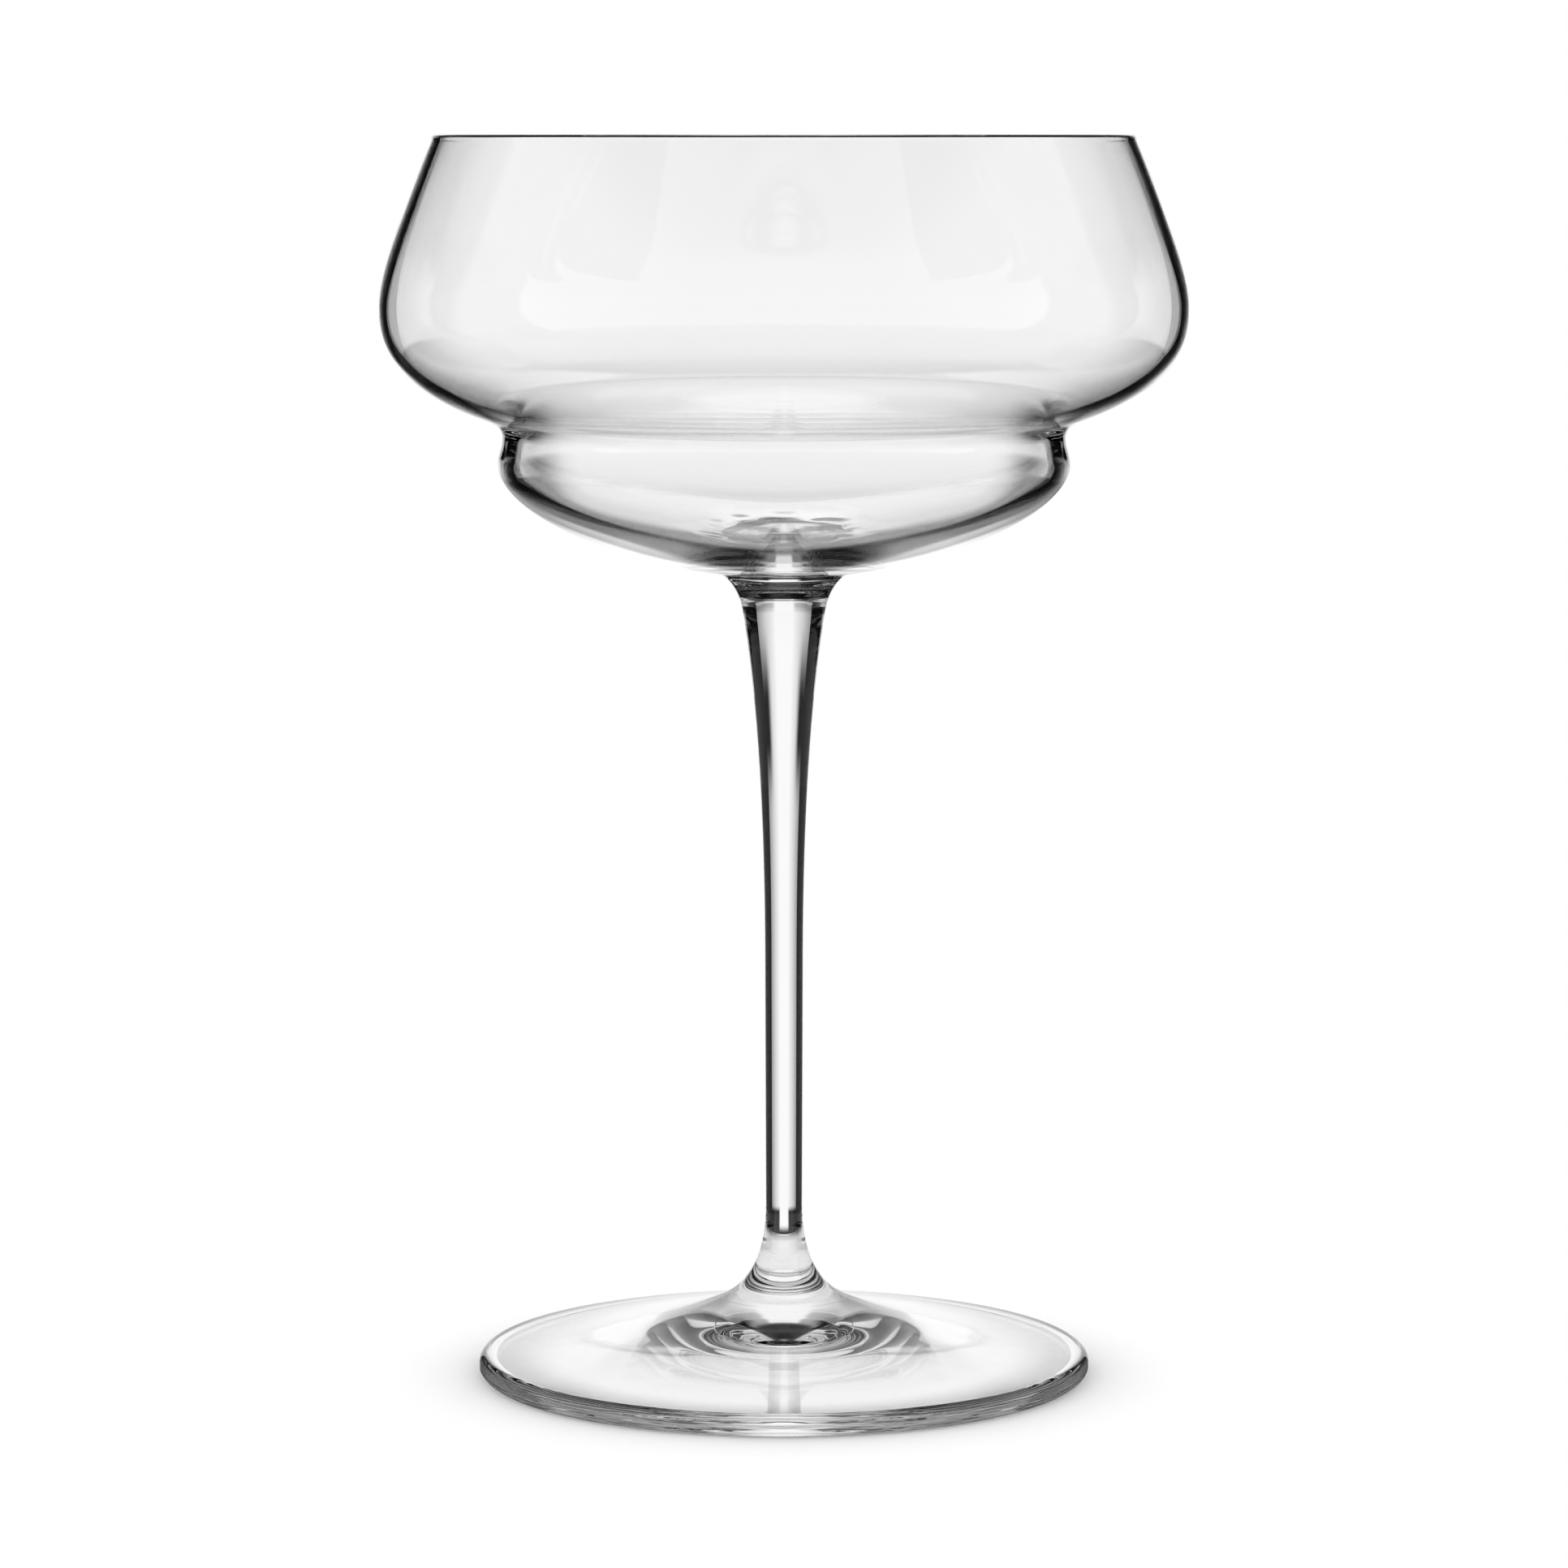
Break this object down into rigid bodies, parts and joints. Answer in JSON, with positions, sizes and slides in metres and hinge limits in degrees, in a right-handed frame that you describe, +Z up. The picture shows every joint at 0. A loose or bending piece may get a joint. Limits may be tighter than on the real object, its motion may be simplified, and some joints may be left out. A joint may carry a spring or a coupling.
{
  "type": "nick and nora glass",
  "caption": "Clear stemmed cocktail glass with a round-shouldered bowl pinched in at the waist above a smaller lower chamber, on a slim drawn stem and a flat round foot.",
  "frame": {"origin": "on the glass's axis, in the plane of the ring under the foot that the glass stands on", "axes": "+Z up along the stem to the rim; +Y away from the viewer of the picture and +X to the right"},
  "size_m": [0.1032, 0.1032, 0.16],
  "materials": {
    "bowl_glass": "polished",
    "stem_glass": "polished",
    "foot_glass": "polished"
  },
  "bodies": {
    "root": {"bowl": "bowl_glass", "stem": "stem_glass", "foot": "foot_glass"}
  },
  "joints": []
}
